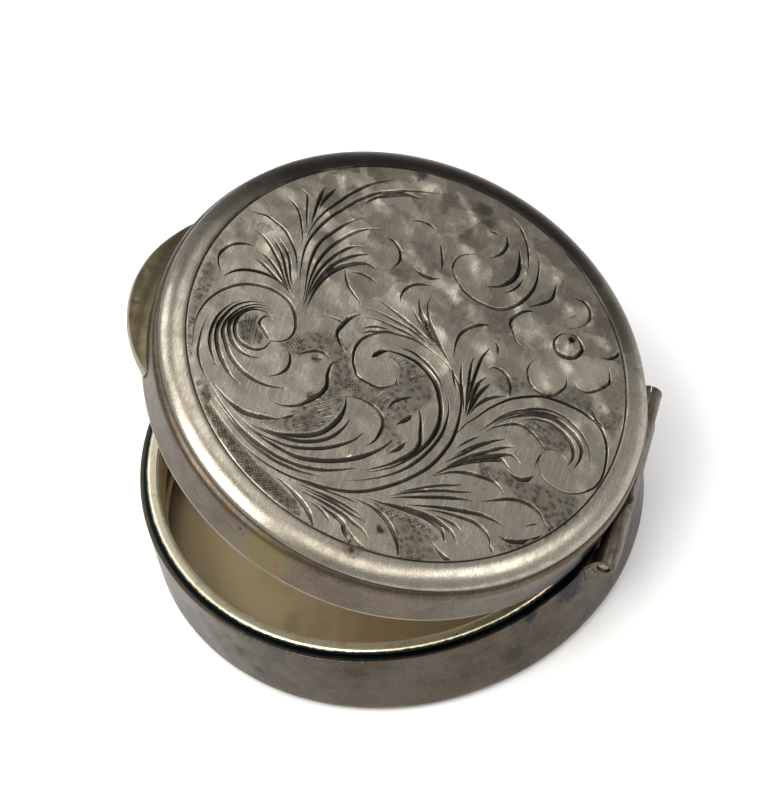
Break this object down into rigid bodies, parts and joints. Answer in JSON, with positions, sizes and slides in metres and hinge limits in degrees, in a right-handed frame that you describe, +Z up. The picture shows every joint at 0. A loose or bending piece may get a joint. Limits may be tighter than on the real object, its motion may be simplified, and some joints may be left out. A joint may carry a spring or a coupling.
{
  "type": "pill box",
  "caption": "Round metal pill box with an inner lip, a hinged lid with a beaded rim and an engraved top, and a crescent thumb tab.",
  "frame": {"origin": "centre of the box's flat underside", "axes": "+Z up, +Y towards the hinge, -Y towards the thumb tab, +X along the hinge"},
  "size_m": [0.038, 0.0392, 0.0266],
  "materials": {
    "silver_base": "worn grey silver outside, old gilding inside",
    "silver_lip": "bright worn silver, blackened on its outer side",
    "silver_hinge": "dull tarnished silver",
    "hinge_pin": "drawn wire",
    "silver_engraved": "engraved silver with tarnish in the cuts",
    "silver_skirt": "worn satin silver, stained in places",
    "silver_tab": "brown tarnished silver with a bright edge"
  },
  "bodies": {
    "base": {"base_cup": "silver_base", "base_lip": "silver_lip", "base_bearer": "silver_hinge", "base_knuckle_left": "silver_hinge", "base_knuckle_right": "silver_hinge", "hinge_pin": "hinge_pin"},
    "lid": {"lid_cap": "silver_engraved", "lid_skirt": "silver_skirt", "lid_bearer": "silver_hinge", "lid_knuckle": "silver_hinge", "thumb_tab": "silver_tab"}
  },
  "joints": [
    {"name": "lid_hinge", "type": "hinge", "parent": "base", "child": "lid", "pos_m": [0, 0.0187, 0.00745], "axis": [-1, 0, 0], "range_deg": [-24, 76]}
  ]
}
